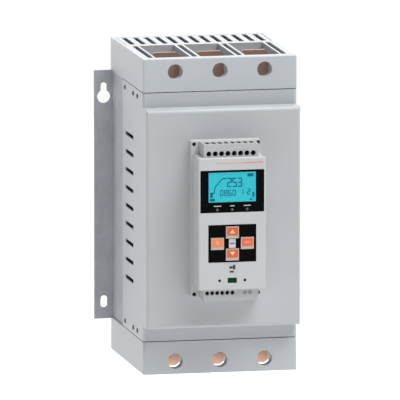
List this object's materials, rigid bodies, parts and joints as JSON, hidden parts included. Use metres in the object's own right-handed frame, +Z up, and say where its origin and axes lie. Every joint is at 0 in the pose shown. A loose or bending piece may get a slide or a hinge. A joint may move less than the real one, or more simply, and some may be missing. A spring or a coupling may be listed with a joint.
{
  "type": "soft starter",
  "caption": "Wall-mounted three-phase soft starter: stepped grey housing over a finned heat sink with fans, copper bar terminals, and a control module with display and keys.",
  "frame": {"origin": "middle of the part's footprint, at the foot of the lower terminal cover", "axes": "+Z up, +Y back to the wall, +X to the viewer's right"},
  "size_m": [0.1896, 0.218, 0.315],
  "materials": {
    "zinc_steel": "zinc plated sheet",
    "painted_sheet": "light grey powder paint",
    "cover_plastic": "moulded light grey plastic",
    "copper": "bare copper",
    "sink_aluminium": "extruded aluminium",
    "dark_plastic": "moulded dark plastic",
    "screw_steel": "plated steel",
    "board_laminate": "green laminate",
    "transformer_steel": "varnished laminations",
    "capacitor_sleeve": "sleeved can",
    "module_plastic": "moulded warm grey plastic",
    "lens_black": "dark glossy lens",
    "screen_film": "lit screen film",
    "light_guide": "tinted light guide",
    "key_rubber": "orange key cap",
    "port_window": "dark green window"
  },
  "bodies": {
    "housing": {"chassis": "zinc_steel", "fan_plate": "zinc_steel", "main_cover": "painted_sheet", "upper_terminal_cover": "cover_plastic", "lower_terminal_cover": "cover_plastic", "upper_cable_wells": "cover_plastic", "lower_cable_wells": "cover_plastic", "upper_vent_grille": "cover_plastic", "lower_vent_grille": "cover_plastic", "line_bar_1": "copper", "line_bar_2": "copper", "line_bar_3": "copper", "load_bar_1": "copper", "load_bar_2": "copper", "load_bar_3": "copper", "heat_sink": "sink_aluminium", "fan_frame_left": "dark_plastic", "fan_frame_right": "dark_plastic", "thyristor_module_1": "dark_plastic", "thyristor_module_2": "dark_plastic", "thyristor_module_3": "dark_plastic", "bypass_relay_1": "dark_plastic", "bypass_relay_2": "dark_plastic", "bypass_relay_3": "dark_plastic", "current_sensor_1": "dark_plastic", "current_sensor_2": "dark_plastic", "current_sensor_3": "dark_plastic", "board_link": "dark_plastic", "key_switches": "dark_plastic", "fan_screws": "screw_steel", "side_screws": "screw_steel", "thyristor_screws": "screw_steel", "bar_bolts": "screw_steel", "board_standoffs": "screw_steel", "board_screws": "screw_steel", "upper_clamp_screws": "screw_steel", "lower_clamp_screws": "screw_steel", "pair_clamp_screws": "screw_steel", "module_screws": "screw_steel", "power_board": "board_laminate", "control_board": "board_laminate", "supply_transformer": "transformer_steel", "board_capacitors": "capacitor_sleeve", "control_base": "module_plastic", "control_front": "module_plastic", "upper_terminal_strip": "module_plastic", "lower_terminal_strip": "module_plastic", "display_lens": "lens_black", "keypad_frame": "lens_black", "lcd_screen": "screen_film", "status_lights": "light_guide", "optical_port": "port_window"},
    "key_up": {"key_up": "key_rubber"},
    "key_down": {"key_down": "key_rubber"},
    "key_left": {"key_left": "key_rubber"},
    "key_right": {"key_right": "key_rubber"},
    "fan_left": {"fan_rotor_left": "dark_plastic"},
    "fan_right": {"fan_rotor_right": "dark_plastic"}
  },
  "joints": [
    {"name": "key_up_press", "type": "slide", "parent": "housing", "child": "key_up", "axis": [0, 1, 0], "range_m": [0, 0.0006], "stiffness_N_per_m": 2500},
    {"name": "key_down_press", "type": "slide", "parent": "housing", "child": "key_down", "axis": [0, 1, 0], "range_m": [0, 0.0006], "stiffness_N_per_m": 2500},
    {"name": "key_left_press", "type": "slide", "parent": "housing", "child": "key_left", "axis": [0, 1, 0], "range_m": [0, 0.0006], "stiffness_N_per_m": 2500},
    {"name": "key_right_press", "type": "slide", "parent": "housing", "child": "key_right", "axis": [0, 1, 0], "range_m": [0, 0.0006], "stiffness_N_per_m": 2500},
    {"name": "fan_left_spin", "type": "hinge", "parent": "housing", "child": "fan_left", "pos_m": [-0.036, 0.0805, 0.0389], "axis": [0, 0, 1], "continuous": true},
    {"name": "fan_right_spin", "type": "hinge", "parent": "housing", "child": "fan_right", "pos_m": [0.036, 0.0805, 0.0389], "axis": [0, 0, 1], "continuous": true}
  ]
}
